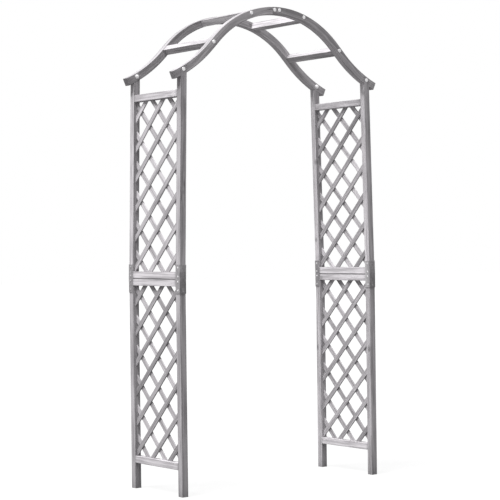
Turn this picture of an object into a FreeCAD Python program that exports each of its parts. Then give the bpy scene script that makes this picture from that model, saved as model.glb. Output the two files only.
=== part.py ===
"""Wooden garden arch: four posts in two lengths, lattice side panels and S-shaped arch rails.

Millimetres. X runs across the walkway, Y runs through it, Z is up. The origin lies on the
ground at the middle of the arch. Pieces of one side are drawn on the right (+X) side and the
left side is the same piece turned half round about Z.
"""
import FreeCAD, Part
import os
import Sketcher
from math import acos, asin, pi, radians
from FreeCAD import Placement, Rotation, Vector

Y_AXIS, Z_AXIS = Vector(0, 1, 0), Vector(0, 0, 1)
RIGHT, LEFT = 1, -1
REAR, FRONT = 1, -1

# Driving dimensions: alias, size in mm (angles in degrees), what it is
DRIVING = [
    ("post_side", 35, "square section of the posts and rails"),
    ("foot_span", 1200, "between the middles of the posts, across the walkway"),
    ("panel_width", 380, "clear width of a side panel between its posts"),
    ("lower_length", 1050, "length of a lower post"),
    ("upper_panel_length", 917, "upper panel, joint to the top of its top rail"),
    ("lean_angle", 1.3, "inward lean of the upper posts, degrees"),
    ("bottom_rail_lift", 128, "ground to the underside of the bottom rail"),
    ("head_gap", 80, "top rail to the underside of the arch rail"),
    ("slat_width", 25, "width of a lattice slat"),
    ("slat_thickness", 6, "thickness of a lattice slat"),
    ("lattice_rows", 5, "diamonds between the lowest and the highest crossing"),
    ("lattice_columns", 2, "diamonds between the crossings nearest the two posts"),
    ("end_margin", 52, "opening's lower and upper edge to the nearest crossings"),
    ("side_margin", 38, "post to the nearest crossings"),
    ("band_width", 39, "width of the arch rail, seen from the front"),
    ("crown_slope", 45.8, "slope where the crown ends, degrees"),
    ("shoulder_run", 61, "straight run between the crown and the tail"),
    ("tail_radius", 660, "top edge of the tail"),
    ("tail_inset", 130, "post's inner face to the upper end of the tail"),
    ("tail_overhang", 45, "post's outer face to the tip of a tail"),
    ("crown_lap", 66, "length of the half-lap at the crown"),
    ("tongue_cover", 8, "wood left over a post's tongue"),
    ("joint_play", 0.3, "clearance round a tongue and under a rail"),
    ("crossbar_angle", 18.1, "inner crossbar's place on the crown, degrees"),
    ("crossbar_side", 35, "square section of a crossbar"),
    ("bracket_length", 140, "joint bracket, half of it above the joint"),
    ("bracket_reach", 33, "depth of a bracket's flanges"),
    ("bracket_sheet", 2, "thickness of the bracket's steel"),
    ("bracket_play", 0.2, "clearance between bracket and post"),
]

# Derived dimensions, worked out from the ones above
DERIVED = [
    ("half_side", "post_side / 2"),
    ("inner_x", "(foot_span - post_side) / 2"),
    ("post_y", "(panel_width + post_side) / 2"),
    ("lower_opening", "lower_length - bottom_rail_lift - 2 * post_side"),
    ("upper_opening", "upper_panel_length - 2 * post_side"),
    ("diamond_width", "(panel_width - 2 * side_margin) / lattice_columns"),
    ("run_across", "shoulder_run * cos(crown_slope)"),
    ("run_drop", "shoulder_run * sin(crown_slope)"),
    ("eaves_length", "upper_panel_length + head_gap"),
    ("eaves_x", "inner_x - eaves_length * sin(lean_angle)"),
    ("eaves_z", "lower_length + eaves_length * cos(lean_angle)"),
    ("tail_reach", "eaves_x + post_side + tail_overhang"),
    ("crown_end_x", "eaves_x - tail_inset - run_across"),
    ("crown_radius", "crown_end_x / sin(crown_slope)"),
    ("crown_low_radius", "crown_radius - band_width"),
    ("tail_low_radius", "tail_radius + band_width"),
    ("tail_x", "crown_end_x + run_across + tail_radius * sin(crown_slope)"),
    ("tail_z", "eaves_z + sqrt(tail_low_radius ^ 2 - (tail_x - eaves_x) ^ 2)"),
    ("crown_z", "tail_z - (crown_radius + tail_radius) * cos(crown_slope) + run_drop"),
    ("tail_undercut", "band_width * (tail_x - tail_reach) / tail_radius"),
    ("notch_radius", "tail_radius + tongue_cover"),
    ("tongue_radius", "notch_radius + joint_play"),
    ("shoulder_radius", "tail_low_radius + joint_play"),
]
for LEVEL in ("lower", "upper"):
    DERIVED += [
        (f"{LEVEL}_diamond", f"({LEVEL}_opening - 2 * end_margin) / lattice_rows"),
        (f"{LEVEL}_slat_rise", f"panel_width * {LEVEL}_diamond / diamond_width"),
        (f"{LEVEL}_slat_upright", f"slat_width * sqrt(1 + ({LEVEL}_diamond / diamond_width) ^ 2)"),
        (f"{LEVEL}_slats_below",
         f"floor((end_margin + ({LEVEL}_slat_rise + {LEVEL}_slat_upright) / 2) / {LEVEL}_diamond)"),
        (f"{LEVEL}_slat_start",
         f"end_margin - {LEVEL}_slats_below * {LEVEL}_diamond - {LEVEL}_slat_upright / 2"),
    ]

NODES = {}


def open_sheet(doc):
    """The document's sheet of sizes: driving numbers first, then the formulas that follow."""
    sheet = doc.addObject("Spreadsheet::Sheet", "Sizes")
    for row, (alias, size, note) in enumerate(DRIVING, start=1):
        sheet.set(f"A{row}", note)
        sheet.set(f"B{row}", str(size))
        sheet.setAlias(f"B{row}", alias)
    for row, (alias, formula) in enumerate(DERIVED, start=len(DRIVING) + 1):
        sheet.set(f"A{row}", "derived")
        sheet.set(f"B{row}", "=" + formula)
        sheet.setAlias(f"B{row}", alias)
        doc.recompute()
    return sheet


DOC = FreeCAD.newDocument("garden_arch")
SHEET = open_sheet(DOC)


def size(alias):
    """A size read from the sheet as a plain number."""
    value = SHEET.get(alias)
    return float(getattr(value, "Value", value))


def bind(thing, **formulas):
    """Tie properties of an object to the sheet; a name in a formula is a sheet alias."""
    for name, formula in formulas.items():
        thing.setExpression(name, formula)


def place(side, x, y, z, tilt=0.0):
    """Placement of a piece drawn on the right side, turned half round for the left side."""
    seat = Placement(Vector(x, side * y, z), Rotation(Y_AXIS, -tilt))
    turn = Placement(Vector(), Rotation(Z_AXIS, 0 if side == RIGHT else 180))
    return turn.multiply(seat)


def leaning(side, x, y, z):
    """Placement in the frame of a leaning upper panel, whose zero is its inner lower edge."""
    lean = size("lean_angle")
    edge = place(side, size("inner_x"), 0, size("lower_length"), lean)
    return edge.multiply(Placement(Vector(x, side * y, z), Rotation()))


def keep(name, thing, placement):
    """Name an object as one of the arch's pieces and put it in its place."""
    thing.Label = name
    thing.Placement = placement
    NODES[name] = thing


def side_name(side):
    return "right" if side == RIGHT else "left"


def frame_name(frame):
    return "front" if frame == FRONT else "rear"


def box(name, length, width, height):
    """A box whose three sizes are sheet formulas."""
    block = DOC.addObject("Part::Box", name)
    bind(block, Length=length, Width=width, Height=height)
    return block


def new_body(name):
    body = DOC.addObject("PartDesign::Body", name)
    body.AllowCompound = True
    return body


def new_sketch(body, name, role):
    """A sketch on one of the body's own origin planes."""
    sketch = body.newObject("Sketcher::SketchObject", name)
    plane = [item for item in body.Origin.OriginFeatures if item.Role == role][0]
    sketch.AttachmentSupport = [(plane, "")]
    sketch.MapMode = "FlatFace"
    return sketch


def constrain(sketch, kind, *where, formula=None):
    """Add a constraint and, where it has a size, tie it to the sheet."""
    if formula is None:
        return sketch.addConstraint(Sketcher.Constraint(kind, *where))
    index = sketch.addConstraint(Sketcher.Constraint(kind, *where, evaluate(formula)))
    sketch.setExpression(f"Constraints[{index}]", formula)
    return index


def evaluate(formula):
    """The present value of a sheet formula, for a sketch's first shape."""
    value = SHEET.evalExpression(formula.replace("Sizes.", ""))
    return float(getattr(value, "Value", value))


def add_line(sketch, start, end):
    return sketch.addGeometry(Part.LineSegment(Vector(*start, 0), Vector(*end, 0)), False)


def add_arc(sketch, centre, radius, start, end):
    circle = Part.Circle(Vector(*centre, 0), Z_AXIS, radius)
    return sketch.addGeometry(Part.ArcOfCircle(circle, start, end), False)


def join_ends(sketch, pairs):
    for first, first_end, second, second_end in pairs:
        constrain(sketch, "Coincident", first, first_end, second, second_end)


# Plain timbers


def lower_post(side, frame):
    name = f"{frame_name(frame)}_{side_name(side)}_lower_post"
    post = box(name, "Sizes.post_side", "Sizes.post_side", "Sizes.lower_length")
    y = frame * size("post_y") - side * size("half_side")
    keep(name, post, place(side, size("inner_x"), y, 0))


def panel_rail(side, level, z, upper):
    """A rail across a side panel, from post to post."""
    name = f"{side_name(side)}_{level}_rail"
    rail = box(name, "Sizes.post_side", "Sizes.panel_width", "Sizes.post_side")
    y = -side * size("panel_width") / 2
    if upper:
        keep(name, rail, leaning(side, 0, y, z))
    else:
        keep(name, rail, place(side, size("inner_x"), y, z))


def panel_rails(side):
    panel_rail(side, "bottom", size("bottom_rail_lift"), upper=False)
    panel_rail(side, "lower_mid", size("lower_length") - size("post_side"), upper=False)
    panel_rail(side, "upper_mid", 0, upper=True)
    panel_rail(side, "top", size("upper_panel_length") - size("post_side"), upper=True)


# Upper posts, with a tongue that laps the arch rail

# The tail's centre seen in the leaning frame
TAIL_ACROSS = ("(Sizes.tail_x - Sizes.inner_x) * cos(Sizes.lean_angle)"
               " + (Sizes.tail_z - Sizes.lower_length) * sin(Sizes.lean_angle)")
TAIL_UP = ("(Sizes.tail_z - Sizes.lower_length) * cos(Sizes.lean_angle)"
           " - (Sizes.tail_x - Sizes.inner_x) * sin(Sizes.lean_angle)")


def post_profile(body, name, radius):
    """Outline of an upper post up to an arc about the tail's centre, in the leaning frame."""
    sketch = new_sketch(body, name, "XZ_Plane")
    across, up = evaluate(TAIL_ACROSS), evaluate(TAIL_UP)
    reach = evaluate(radius)
    width = size("post_side")
    inner_angle = 2 * pi - acos((0 - across) / reach)
    outer_angle = 2 * pi - acos((width - across) / reach)
    start, end = sorted((inner_angle, outer_angle))
    arc = add_arc(sketch, (across, up), reach, start, end)
    geometry = sketch.Geometry[arc]
    inner_top = (0.0, geometry.StartPoint.y)
    outer_top = (width, geometry.EndPoint.y)
    foot = add_line(sketch, (0, 0), (width, 0))
    outer = add_line(sketch, (width, 0), outer_top)
    inner = add_line(sketch, inner_top, (0, 0))
    join_ends(sketch, [(foot, 2, outer, 1), (outer, 2, arc, 2), (arc, 1, inner, 1),
                       (inner, 2, foot, 1)])
    constrain(sketch, "Coincident", foot, 1, -1, 1)
    constrain(sketch, "Horizontal", foot)
    constrain(sketch, "Vertical", outer)
    constrain(sketch, "Vertical", inner)
    constrain(sketch, "DistanceX", foot, 1, foot, 2, formula="Sizes.post_side")
    constrain(sketch, "Radius", arc, formula=radius)
    constrain(sketch, "DistanceX", -1, 1, arc, 3, formula=TAIL_ACROSS)
    constrain(sketch, "DistanceY", -1, 1, arc, 3, formula=TAIL_UP)
    return sketch


def pad(body, name, sketch, length, toward):
    """Pad a sketch of the XZ plane: both ways from it, or toward -Y or +Y."""
    feature = body.newObject("PartDesign::Pad", name)
    feature.Profile = sketch
    feature.Midplane = toward == 0
    feature.Reversed = toward > 0
    bind(feature, Length=length)
    return feature


def upper_post(side, frame):
    name = f"{frame_name(frame)}_{side_name(side)}_upper_post"
    body = new_body(name)
    outward = frame * side
    stem = post_profile(body, f"{name}_stem_outline", "Sizes.shoulder_radius")
    pad(body, f"{name}_stem", stem, "Sizes.post_side", 0)
    tongue = post_profile(body, f"{name}_tongue_outline", "Sizes.tongue_radius")
    pad(body, f"{name}_tongue", tongue, "Sizes.half_side", outward)
    keep(name, body, leaning(side, 0, frame * size("post_y"), 0))


# Arch rails, two S-shaped halves to a frame


def rail_outline(body, name):
    """Outline of the right half: crown, straight shoulder, reverse curve and end cut."""
    sketch = new_sketch(body, name, "XZ_Plane")
    slope = radians(size("crown_slope"))
    lap = size("crown_lap") / 2
    crown, tail = (0, size("crown_z")), (size("tail_x"), size("tail_z"))
    tip_turn = asin((tail[0] - size("tail_reach")) / size("tail_radius"))
    edges = []
    for bow_radius, hook_radius in ((size("crown_radius"), size("tail_radius")),
                                    (size("crown_low_radius"), size("tail_low_radius"))):
        bow = add_arc(sketch, crown, bow_radius, pi / 2 - slope, pi / 2 + asin(lap / bow_radius))
        hook = add_arc(sketch, tail, hook_radius, 1.5 * pi - slope, 1.5 * pi - tip_turn)
        first, last = sketch.Geometry[bow].StartPoint, sketch.Geometry[hook].StartPoint
        run = add_line(sketch, (first.x, first.y), (last.x, last.y))
        constrain(sketch, "Tangent", bow, 1, run, 1)
        constrain(sketch, "Tangent", run, 2, hook, 1)
        edges.append((bow, run, hook))
    (bow, run, hook), (low_bow, low_run, low_hook) = edges
    ends = [(sketch.Geometry[part].EndPoint.x, sketch.Geometry[part].EndPoint.y)
            for part in (bow, low_bow, hook, low_hook)]
    butt = add_line(sketch, ends[0], ends[1])
    tip = add_line(sketch, ends[2], ends[3])
    join_ends(sketch, [(bow, 2, butt, 1), (butt, 2, low_bow, 2), (hook, 2, tip, 1),
                       (tip, 2, low_hook, 2), (bow, 3, low_bow, 3), (hook, 3, low_hook, 3)])
    constrain(sketch, "PointOnObject", bow, 3, -2)
    constrain(sketch, "DistanceY", -1, 1, bow, 3, formula="Sizes.crown_z")
    constrain(sketch, "Radius", bow, formula="Sizes.crown_radius")
    constrain(sketch, "Radius", low_bow, formula="Sizes.crown_low_radius")
    constrain(sketch, "Radius", hook, formula="Sizes.tail_radius")
    constrain(sketch, "Radius", low_hook, formula="Sizes.tail_low_radius")
    constrain(sketch, "DistanceX", -1, 1, run, 1, formula="Sizes.crown_end_x")
    constrain(sketch, "Distance", run, formula="Sizes.shoulder_run")
    constrain(sketch, "Vertical", butt)
    constrain(sketch, "DistanceX", butt, 1, -1, 1, formula="Sizes.crown_lap / 2")
    constrain(sketch, "DistanceX", -1, 1, tip, 1, formula="Sizes.tail_reach")
    constrain(sketch, "DistanceX", -1, 1, tip, 2, formula="Sizes.tail_reach - Sizes.tail_undercut")
    return sketch


def lap_outline(body, name):
    """Rectangle over the crown's half-lap."""
    sketch = new_sketch(body, name, "XZ_Plane")
    lap = size("crown_lap") / 2
    low, high = size("crown_z"), size("crown_z") + 2 * size("crown_radius")
    corners = [(-lap, low), (lap, low), (lap, high), (-lap, high)]
    edges = [add_line(sketch, corners[i], corners[(i + 1) % 4]) for i in range(4)]
    join_ends(sketch, [(edges[i], 2, edges[(i + 1) % 4], 1) for i in range(4)])
    constrain(sketch, "Horizontal", edges[0])
    constrain(sketch, "Horizontal", edges[2])
    constrain(sketch, "Vertical", edges[1])
    constrain(sketch, "Vertical", edges[3])
    constrain(sketch, "DistanceX", edges[0], 1, edges[0], 2, formula="Sizes.crown_lap")
    constrain(sketch, "DistanceX", edges[0], 1, -1, 1, formula="Sizes.crown_lap / 2")
    constrain(sketch, "DistanceY", -1, 1, edges[0], 1, formula="Sizes.crown_z")
    constrain(sketch, "DistanceY", edges[1], 1, edges[1], 2, formula="2 * Sizes.crown_radius")
    return sketch


def notch_outline(body, name):
    """Notch for a leaning post's tongue, open below and closed by an arc under the top edge."""
    sketch = new_sketch(body, name, "XZ_Plane")
    centre = (size("tail_x"), size("tail_z"))
    reach = size("notch_radius")
    edge = leaning(RIGHT, 0, 0, 0)
    low = size("upper_panel_length")
    sides = (-size("joint_play"), size("post_side") + size("joint_play"))
    feet = [edge.multVec(Vector(x, 0, low)) for x in sides]
    heads = []
    for foot in feet:
        rise = edge.Rotation.multVec(Z_AXIS)
        gap_x, gap_z = foot.x - centre[0], foot.z - centre[1]
        along = gap_x * rise.x + gap_z * rise.z
        length = -along - (along ** 2 - gap_x ** 2 - gap_z ** 2 + reach ** 2) ** 0.5
        heads.append((foot.x + length * rise.x, foot.z + length * rise.z))
    angles = [2 * pi - acos((head[0] - centre[0]) / reach) for head in heads]
    arc = add_arc(sketch, centre, reach, angles[0], angles[1])
    base = add_line(sketch, (feet[0].x, feet[0].z), (feet[1].x, feet[1].z))
    outer = add_line(sketch, (feet[1].x, feet[1].z), heads[1])
    inner = add_line(sketch, heads[0], (feet[0].x, feet[0].z))
    join_ends(sketch, [(base, 2, outer, 1), (outer, 2, arc, 2), (arc, 1, inner, 1),
                       (inner, 2, base, 1)])
    constrain(sketch, "Perpendicular", base, outer)
    constrain(sketch, "Perpendicular", base, inner)
    cosine, sine = "cos(Sizes.lean_angle)", "sin(Sizes.lean_angle)"
    play, panel = "Sizes.joint_play", "Sizes.upper_panel_length"
    constrain(sketch, "Distance", base, formula=f"Sizes.post_side + 2 * {play}")
    constrain(sketch, "DistanceX", -1, 1, base, 1,
              formula=f"Sizes.inner_x - {play} * {cosine} - {panel} * {sine}")
    constrain(sketch, "DistanceY", -1, 1, base, 1,
              formula=f"Sizes.lower_length - {play} * {sine} + {panel} * {cosine}")
    constrain(sketch, "DistanceX", base, 1, base, 2,
              formula=f"(Sizes.post_side + 2 * {play}) * {cosine}")
    constrain(sketch, "Radius", arc, formula="Sizes.notch_radius")
    constrain(sketch, "DistanceX", -1, 1, arc, 3, formula="Sizes.tail_x")
    constrain(sketch, "DistanceY", -1, 1, arc, 3, formula="Sizes.tail_z")
    return sketch


def half_pocket(body, name, sketch, toward):
    """Cut a sketch of the middle plane through half the rail, toward -Y or +Y."""
    feature = body.newObject("PartDesign::Pocket", name)
    feature.Profile = sketch
    feature.Type = "Length"
    feature.Reversed = toward < 0
    bind(feature, Length="Sizes.half_side")
    return feature


def arch_rail(side, frame):
    name = f"{frame_name(frame)}_{side_name(side)}_arch_rail"
    body = new_body(name)
    pad(body, f"{name}_band", rail_outline(body, f"{name}_outline"), "Sizes.post_side", 0)
    DOC.recompute()
    whole = body.Shape.Volume
    half_pocket(body, f"{name}_lap", lap_outline(body, f"{name}_lap_outline"), -frame)
    DOC.recompute()
    lapped = body.Shape.Volume
    half_pocket(body, f"{name}_notch", notch_outline(body, f"{name}_notch_outline"), frame * side)
    DOC.recompute()
    if not whole > lapped > body.Shape.Volume:
        raise RuntimeError(f"{name}: a joint cut nothing")
    keep(name, body, place(side, 0, frame * size("post_y"), 0))


# Crossbars between the two frames


def crossbar(side, level, x, z, slope):
    name = f"{side_name(side)}_{level}_crossbar"
    bar = box(name, "Sizes.crossbar_side", "Sizes.panel_width", "Sizes.crossbar_side")
    half = size("crossbar_side") / 2
    turn = place(side, x, 0, z, -slope)
    keep(name, bar, turn.multiply(Placement(Vector(-half, -size("panel_width") / 2, -half),
                                            Rotation())))


def crossbars(side):
    middle = size("crown_radius") - size("band_width") / 2
    spot = Rotation(Y_AXIS, size("crossbar_angle")).multVec(Vector(0, 0, middle))
    crossbar(side, "inner", spot.x, size("crown_z") + spot.z, size("crossbar_angle"))
    slope = size("crown_slope")
    spot = Rotation(Y_AXIS, slope).multVec(Vector(size("shoulder_run") / 2, 0, middle))
    crossbar(side, "outer", spot.x, size("crown_z") + spot.z, slope)


# Lattice panels


def slat_layer(body, name, level, rising, toward):
    """One layer of parallel slats: a slat from post to post, repeated up the panel."""
    sketch = new_sketch(body, f"{name}_outline", "YZ_Plane")
    half = size("panel_width") / 2
    sign, other = ("-", "+") if rising else ("+", "-")
    left_end = f"Sizes.{level}_slat_start {sign} Sizes.{level}_slat_rise / 2"
    right_end = f"Sizes.{level}_slat_start {other} Sizes.{level}_slat_rise / 2"
    left, right, upright = evaluate(left_end), evaluate(right_end), size(f"{level}_slat_upright")
    corners = [(-half, left), (half, right), (half, right + upright), (-half, left + upright)]
    edges = [add_line(sketch, corners[i], corners[(i + 1) % 4]) for i in range(4)]
    join_ends(sketch, [(edges[i], 2, edges[(i + 1) % 4], 1) for i in range(4)])
    constrain(sketch, "Vertical", edges[1])
    constrain(sketch, "Vertical", edges[3])
    constrain(sketch, "Parallel", edges[0], edges[2])
    constrain(sketch, "DistanceX", edges[0], 1, -1, 1, formula="Sizes.panel_width / 2")
    constrain(sketch, "DistanceX", -1, 1, edges[0], 2, formula="Sizes.panel_width / 2")
    constrain(sketch, "DistanceY", edges[1], 1, edges[1], 2, formula=f"Sizes.{level}_slat_upright")
    constrain(sketch, "DistanceY", -1, 1, edges[0], 1, formula=left_end)
    constrain(sketch, "DistanceY", -1, 1, edges[0], 2, formula=right_end)
    slat = body.newObject("PartDesign::Pad", f"{name}_slat")
    slat.Profile = sketch
    slat.Reversed = toward < 0
    bind(slat, Length="Sizes.slat_thickness")
    DOC.recompute()
    row = body.newObject("PartDesign::LinearPattern", f"{name}_row")
    row.Originals = [slat]
    axis = [item for item in body.Origin.OriginFeatures if item.Role == "Z_Axis"][0]
    row.Direction = (axis, [""])
    row.Mode = "Spacing"
    bind(row, Offset=f"Sizes.{level}_diamond",
         Occurrences=f"floor((Sizes.{level}_opening + Sizes.{level}_slat_rise / 2"
                     f" - Sizes.{level}_slat_start) / Sizes.{level}_diamond) + 1")
    body.Tip = row
    DOC.recompute()


def lattice(side, level, placement):
    """Two layers of slats, cut to the panel's opening."""
    name = f"{side_name(side)}_{level}_lattice"
    body = new_body(f"{name}_slats")
    slat_layer(body, f"{name}_near", level, False, -1)
    slat_layer(body, f"{name}_far", level, True, 1)
    window = box(f"{name}_window", "Sizes.post_side", "Sizes.panel_width", f"Sizes.{level}_opening")
    window.Placement = Placement(Vector(-size("half_side"), -size("panel_width") / 2, 0), Rotation())
    panel = DOC.addObject("Part::Common", name)
    panel.Base, panel.Tool = body, window
    keep(name, panel, placement)


def lattices(side):
    low = size("bottom_rail_lift") + size("post_side")
    lattice(side, "lower", place(side, size("inner_x") + size("half_side"), 0, low))
    lattice(side, "upper", leaning(side, size("half_side"), 0, size("post_side")))


# Steel brackets round the joint of the lower and upper posts


def bracket_channel(name, height):
    """A channel of sheet steel, open toward the panel, with its zero at the post's middle."""
    outer = box(f"{name}_outside", "Sizes.post_side + 2 * (Sizes.bracket_play + Sizes.bracket_sheet)",
                "Sizes.bracket_reach + Sizes.bracket_play + Sizes.bracket_sheet", height)
    inner = box(f"{name}_inside", "Sizes.post_side + 2 * Sizes.bracket_play",
                "Sizes.bracket_reach + Sizes.bracket_play", height)
    wall = size("bracket_play") + size("bracket_sheet")
    outer.Placement = Placement(Vector(-wall, -wall, 0), Rotation())
    play = size("bracket_play")
    inner.Placement = Placement(Vector(-play, -play, 0), Rotation())
    channel = DOC.addObject("Part::Cut", name)
    channel.Base, channel.Tool = outer, inner
    return channel


def joint_bracket(side, frame):
    """The channel is bent at the joint, so that its upper half leans with the upper post."""
    name = f"{frame_name(frame)}_{side_name(side)}_joint_bracket"
    wedge = "(Sizes.post_side + 2 * Sizes.bracket_sheet) * sin(Sizes.lean_angle)"
    lower = bracket_channel(f"{name}_lower", f"Sizes.bracket_length / 2 + {wedge}")
    upper = bracket_channel(f"{name}_upper", "Sizes.bracket_length / 2")
    half = size("bracket_length") / 2
    lean = size("lean_angle")
    lower.Placement = Placement(Vector(0, 0, -half), Rotation())
    outward = frame * side
    if outward == FRONT:
        upper.Placement = Placement(Vector(), Rotation(Y_AXIS, -lean))
    else:
        flip = Placement(Vector(size("post_side"), size("post_side"), 0), Rotation(Z_AXIS, 180))
        lower.Placement = lower.Placement.multiply(flip)
        upper.Placement = Placement(Vector(), Rotation(Y_AXIS, -lean)).multiply(flip)
    bracket = DOC.addObject("Part::Fuse", name)
    bracket.Base, bracket.Tool = lower, upper
    y = frame * size("post_y") - side * size("half_side")
    keep(name, bracket, place(side, size("inner_x"), y, size("lower_length")))


def build_arch():
    for side in (LEFT, RIGHT):
        panel_rails(side)
        lattices(side)
        crossbars(side)
        for frame in (FRONT, REAR):
            lower_post(side, frame)
            upper_post(side, frame)
            joint_bracket(side, frame)
            arch_rail(side, frame)


def check_arch():
    """Stop if any object failed, or if a piece has no sound shape."""
    DOC.recompute()
    for thing in DOC.Objects:
        if {"Invalid", "Error"} & set(thing.State):
            raise RuntimeError(f"{thing.Label}: {thing.State}")
    for name, thing in NODES.items():
        if thing.Shape.isNull() or not thing.Shape.isValid():
            raise RuntimeError(f"{name}: unsound shape")


def write_arch():
    os.makedirs("parts", exist_ok=True)
    for name, thing in NODES.items():
        thing.Shape.exportStep(f"parts/{name}.step")
        box_now = thing.Shape.BoundBox
        print(f"{name}: {len(thing.Shape.Solids)} solid, {thing.Shape.Volume / 1000:.1f} cm3, "
              f"x {box_now.XMin:.1f} {box_now.XMax:.1f} y {box_now.YMin:.1f} {box_now.YMax:.1f} "
              f"z {box_now.ZMin:.1f} {box_now.ZMax:.1f}")


build_arch()
check_arch()
write_arch()
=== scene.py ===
"""Wooden garden arch in weathered grey timber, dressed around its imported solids.

Metres, in the arch's own frame: X across the walkway, Y through it, Z up, zero on the ground at
the middle. Every timber carries its grain with it: the vector "grain" on its mesh holds the two
ways across the section and the way along the wood.
"""
import bmesh
import bpy
import numpy as np
from math import atan2, cos, floor, hypot, pi, radians, sin, sqrt
from mathutils import Matrix, Vector


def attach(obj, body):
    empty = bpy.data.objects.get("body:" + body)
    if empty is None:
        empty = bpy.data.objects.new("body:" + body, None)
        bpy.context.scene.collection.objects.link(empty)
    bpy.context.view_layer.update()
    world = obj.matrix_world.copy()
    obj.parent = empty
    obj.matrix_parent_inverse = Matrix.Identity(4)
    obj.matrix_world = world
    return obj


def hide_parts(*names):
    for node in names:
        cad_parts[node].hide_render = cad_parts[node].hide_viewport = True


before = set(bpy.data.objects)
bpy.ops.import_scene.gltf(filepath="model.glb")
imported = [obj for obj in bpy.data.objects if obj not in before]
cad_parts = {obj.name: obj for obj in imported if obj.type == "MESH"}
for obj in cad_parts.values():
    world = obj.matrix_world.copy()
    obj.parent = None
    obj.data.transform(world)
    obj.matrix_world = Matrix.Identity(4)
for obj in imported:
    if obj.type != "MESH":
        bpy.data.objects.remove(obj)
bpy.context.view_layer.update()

# Sizes of the arch

# The upper posts lean inwards by LEAN. The margins run from a lattice's opening to its outermost
# crossings. BAND is the arch rail's height in section: its crown is an arc that ends at
# CROWN_SLOPE, its shoulder is straight, and its tail is an arc that bends the other way
POST_SIDE = 0.035
FOOT_SPAN = 1.2
PANEL_WIDTH = 0.38
LOWER_LENGTH = 1.05
UPPER_PANEL = 0.917
LEAN = radians(1.3)
BOTTOM_RAIL_LIFT = 0.128
HEAD_GAP = 0.08
END_MARGIN = 0.052
SIDE_MARGIN = 0.038
LATTICE_ROWS = 5
LATTICE_COLUMNS = 2
SLAT_WIDTH = 0.025
SLAT_THICKNESS = 0.006
BAND = 0.039
CROWN_SLOPE = radians(45.8)
SHOULDER_RUN = 0.061
TAIL_RADIUS = 0.66
TAIL_INSET = 0.13
BRACKET_LENGTH = 0.14
BRACKET_REACH = 0.033
BRACKET_SHEET = 0.002
BRACKET_PLAY = 0.0002

INNER_X = (FOOT_SPAN - POST_SIDE) / 2
POST_Y = (PANEL_WIDTH + POST_SIDE) / 2
FACE_Y = POST_Y + POST_SIDE / 2
INSIDE_Y = PANEL_WIDTH / 2
LOWER_OPENING = LOWER_LENGTH - BOTTOM_RAIL_LIFT - 2 * POST_SIDE
UPPER_OPENING = UPPER_PANEL - 2 * POST_SIDE
COLUMN_STEP = (PANEL_WIDTH - 2 * SIDE_MARGIN) / LATTICE_COLUMNS
EAVES_LENGTH = UPPER_PANEL + HEAD_GAP
EAVES_X = INNER_X - EAVES_LENGTH * sin(LEAN)
EAVES_Z = LOWER_LENGTH + EAVES_LENGTH * cos(LEAN)
CROWN_END_X = EAVES_X - TAIL_INSET - SHOULDER_RUN * cos(CROWN_SLOPE)
CROWN_RADIUS = CROWN_END_X / sin(CROWN_SLOPE)
TAIL_X = EAVES_X - TAIL_INSET + TAIL_RADIUS * sin(CROWN_SLOPE)
TAIL_Z = EAVES_Z + sqrt((TAIL_RADIUS + BAND) ** 2 - (TAIL_X - EAVES_X) ** 2)
CROWN_Z = TAIL_Z - (CROWN_RADIUS + TAIL_RADIUS) * cos(CROWN_SLOPE) + SHOULDER_RUN * sin(CROWN_SLOPE)

# How the timber is worked and how it has weathered

POST_EASING = 0.0022
RAIL_EASING = 0.002
ARCH_EASING = 0.002
SAWN_END_EASING = 0.0007
SLAT_EASING = 0.0008
PITH_DISTANCE = 0.034
PITH_SPREAD = (0.6, 1.7)
WOOD_RUN = 40
SLAT_TONE_SPREAD = (0.8, 1.2)

RIGHT, LEFT = 1, -1
REAR, FRONT = 1, -1
SIDES = {"left": LEFT, "right": RIGHT}
FRAMES = {"front": FRONT, "rear": REAR}
chance = np.random.default_rng(41)


# Node trees

class Wire:
    """A socket that takes part in sums: each operator adds its Math node."""

    def __init__(self, socket):
        self.socket = socket

    def math(self, operation, *values):
        node = self.socket.id_data.nodes.new("ShaderNodeMath")
        node.operation = operation
        for socket, value in zip(node.inputs, values):
            feed(socket, value)
        return Wire(node.outputs[0])

    def __add__(self, other):
        return self.math("ADD", self, other)

    def __radd__(self, other):
        return self.math("ADD", other, self)

    def __sub__(self, other):
        return self.math("SUBTRACT", self, other)

    def __rsub__(self, other):
        return self.math("SUBTRACT", other, self)

    def __mul__(self, other):
        return self.math("MULTIPLY", self, other)

    def __rmul__(self, other):
        return self.math("MULTIPLY", other, self)

    def __pow__(self, other):
        return self.math("POWER", self, other)

    def __abs__(self):
        return self.math("ABSOLUTE", self)


def feed(socket, value):
    """Give a socket a link or a plain value."""
    if isinstance(value, Wire):
        socket.id_data.links.new(value.socket, socket)
    else:
        socket.default_value = value


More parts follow.
